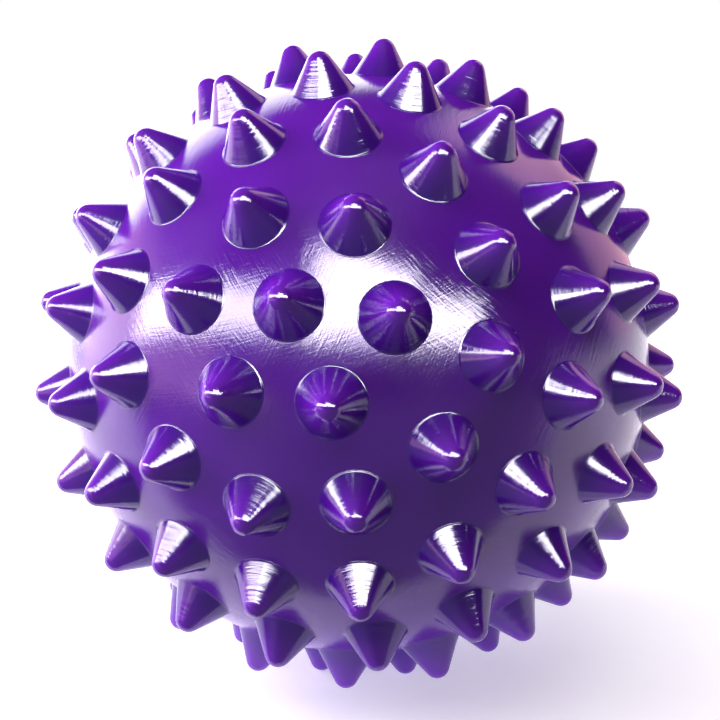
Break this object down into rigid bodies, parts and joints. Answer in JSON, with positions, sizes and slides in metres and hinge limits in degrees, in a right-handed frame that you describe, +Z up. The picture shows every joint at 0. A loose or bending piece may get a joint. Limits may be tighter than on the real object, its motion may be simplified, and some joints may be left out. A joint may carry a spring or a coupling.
{
  "type": "spiked massage ball",
  "caption": "Hollow ball covered in rings of blunt conical spikes, with a push-in stopper in its inflation valve, for kneading muscles against a floor, wall or palm.",
  "frame": {"origin": "centre of the ball", "axes": "+Z up as the ball stands on four spike tips, -Y towards the front pole of the mould, which points 16.6 degrees above level; the valve is at the back pole"},
  "size_m": [0.0744, 0.075, 0.0741],
  "materials": {
    "skin_pvc": "glossy cast PVC, purple, with fine polishing lines",
    "spike_pvc": "mirror-glossy cast PVC, purple",
    "seat_rubber": "satin soft rubber, dark purple",
    "stopper_pvc": "satin hard PVC, dark purple"
  },
  "bodies": {
    "ball": {"skin": "skin_pvc", "front_pole_spike": "spike_pvc", "front_ring_1_spikes": "spike_pvc", "front_ring_2_spikes": "spike_pvc", "front_ring_3_spikes": "spike_pvc", "front_ring_4_spikes": "spike_pvc", "front_ring_5_spikes": "spike_pvc", "back_ring_1_spikes": "spike_pvc", "back_ring_2_spikes": "spike_pvc", "back_ring_3_spikes": "spike_pvc", "back_ring_4_spikes": "spike_pvc", "back_ring_5_spikes": "spike_pvc", "valve_seat": "seat_rubber"},
    "stopper": {"valve_stopper": "stopper_pvc"}
  },
  "joints": [
    {"name": "stopper_pull", "type": "slide", "parent": "ball", "child": "stopper", "axis": [0, 0.9584, -0.2854], "range_m": [0, 0.01]}
  ]
}
